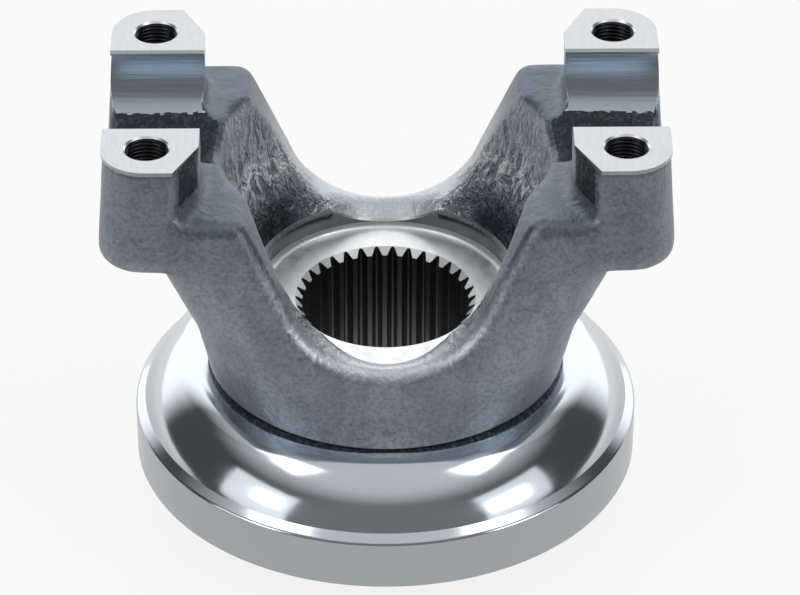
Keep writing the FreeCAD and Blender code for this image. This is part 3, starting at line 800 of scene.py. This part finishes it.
def make_world():
    """White to the camera. Round the object: a white sweep behind, a bright ceiling, and a dark
    room beside and before it, which the softboxes stand in."""
    world = bpy.data.worlds.new("studio")
    bpy.context.scene.world = world
    world.use_nodes = True
    tree = world.node_tree
    tree.nodes.clear()
    direction = add_node(tree, "ShaderNodeTexCoord", output="Generated")
    sweep, camera_side, ceiling, top = [
        add_node(tree, "ShaderNodeMapRange",
                 {"Value": add_node(tree, "ShaderNodeSeparateXYZ", {0: direction}, axis),
                  "From Min": start, "From Max": end, "To Min": low, "To Max": high},
                 interpolation_type="SMOOTHSTEP")
        for axis, start, end, low, high in (("Y", 0.42, 0.72, 0.0, 1.6), ("Y", -0.80, -0.30, 0.23, 0.08),
                                            ("Z", 0.50, 0.88, 0.0, 0.72), ("Z", 0.66, 0.86, 1.0, 0.5))]
    light = add_node(tree, "ShaderNodeMath", {0: sweep, 1: top}, operation="MULTIPLY")
    for brighter in (ceiling, camera_side,
                     add_node(tree, "ShaderNodeLightPath", output="Is Camera Ray")):
        light = add_node(tree, "ShaderNodeMath", {0: light, 1: brighter}, operation="MAXIMUM")
    sky = add_node(tree, "ShaderNodeBackground", {"Color": (1, 1, 1, 1), "Strength": light})
    add_node(tree, "ShaderNodeOutputWorld", {"Surface": sky})


def soft_box(name, azimuth, elevation, distance, width, height, strength):
    """A rectangular lamp aimed at the object from a direction, in degrees from the camera side."""
    target = Vector((0, 0, 0.06))
    a, e = math.radians(azimuth), math.radians(elevation)
    back = Vector((math.sin(a) * math.cos(e), -math.cos(a) * math.cos(e), math.sin(e)))
    lamp = bpy.data.lights.new(name, "AREA")
    lamp.shape = "RECTANGLE"
    lamp.size, lamp.size_y = width, height
    lamp.energy = strength * width * height * math.pi
    obj = bpy.data.objects.new(name, lamp)
    obj.location = target + back * distance
    obj.rotation_euler = back.to_track_quat("Z", "Y").to_euler()
    bpy.context.scene.collection.objects.link(obj)


def make_lights():
    """Two large softboxes before the object, a bright window in each, and a lamp high on each
    side for the arms' inner walls."""
    soft_box("left_box", -60, 18, 1.9, 1.10, 0.95, 1.1)
    soft_box("right_box", 60, 18, 1.9, 1.10, 0.95, 0.95)
    soft_box("left_window", -55, 20, 1.7, 0.34, 0.30, 6.0)
    soft_box("right_window", 56, 17, 1.7, 0.55, 0.34, 5.0)
    soft_box("left_top", -75, 60, 1.8, 0.7, 0.5, 2.0)
    soft_box("right_top", 75, 60, 1.8, 0.7, 0.5, 2.4)


def make_camera():
    """The photograph's camera: a long lens that looks down at the yoke from the front."""
    azimuth, elevation, roll = math.radians(-0.83), math.radians(34.08), math.radians(0.19)
    distance = 1.17792
    target = Vector((0.00454, 0, 0.06528))
    lens = bpy.data.cameras.new("photo_camera")
    lens.sensor_width = 36.0
    lens.lens = 168.97
    lens.clip_start, lens.clip_end = 0.05, 50
    camera = bpy.data.objects.new("photo_camera", lens)
    back = Vector((math.sin(azimuth) * math.cos(elevation), -math.cos(azimuth) * math.cos(elevation),
                   math.sin(elevation)))
    camera.location = target + back * distance
    camera.rotation_euler = ((-back).to_track_quat("-Z", "Y").to_matrix()
                             @ Matrix.Rotation(roll, 3, "Z")).to_euler()
    bpy.context.scene.collection.objects.link(camera)
    bpy.context.scene.camera = camera


class YOKE_PT_panel(bpy.types.Panel):
    """Lists the yoke's sizes, colours and steps"""
    bl_idname = "YOKE_PT_panel"
    bl_label = "Forged end yoke"
    bl_space_type = "VIEW_3D"
    bl_region_type = "UI"
    bl_category = "Yoke"

    def draw(self, context):
        layout = self.layout
        for group in (context.scene.yoke_sizes, context.scene.yoke_colours):
            for key in group.__annotations__:
                layout.prop(group, key)
        for step in STEPS:
            layout.operator(step.bl_idname)


STEPS = (YOKE_OT_forging, YOKE_OT_threads, YOKE_OT_slinger, YOKE_OT_studio)
CLASSES = (YokeSizes, YokeColours) + STEPS + (YOKE_PT_panel,)


def register():
    for cls in CLASSES:
        bpy.utils.register_class(cls)
    bpy.types.Scene.yoke_sizes = bpy.props.PointerProperty(type=YokeSizes)
    bpy.types.Scene.yoke_colours = bpy.props.PointerProperty(type=YokeColours)


def unregister():
    del bpy.types.Scene.yoke_colours
    del bpy.types.Scene.yoke_sizes
    for cls in reversed(CLASSES):
        bpy.utils.unregister_class(cls)


def main():
    register()
    bpy.ops.yoke.forging()
    bpy.ops.yoke.threads()
    bpy.ops.yoke.slinger()
    bpy.ops.yoke.studio()


if __name__ == "__main__":
    main()
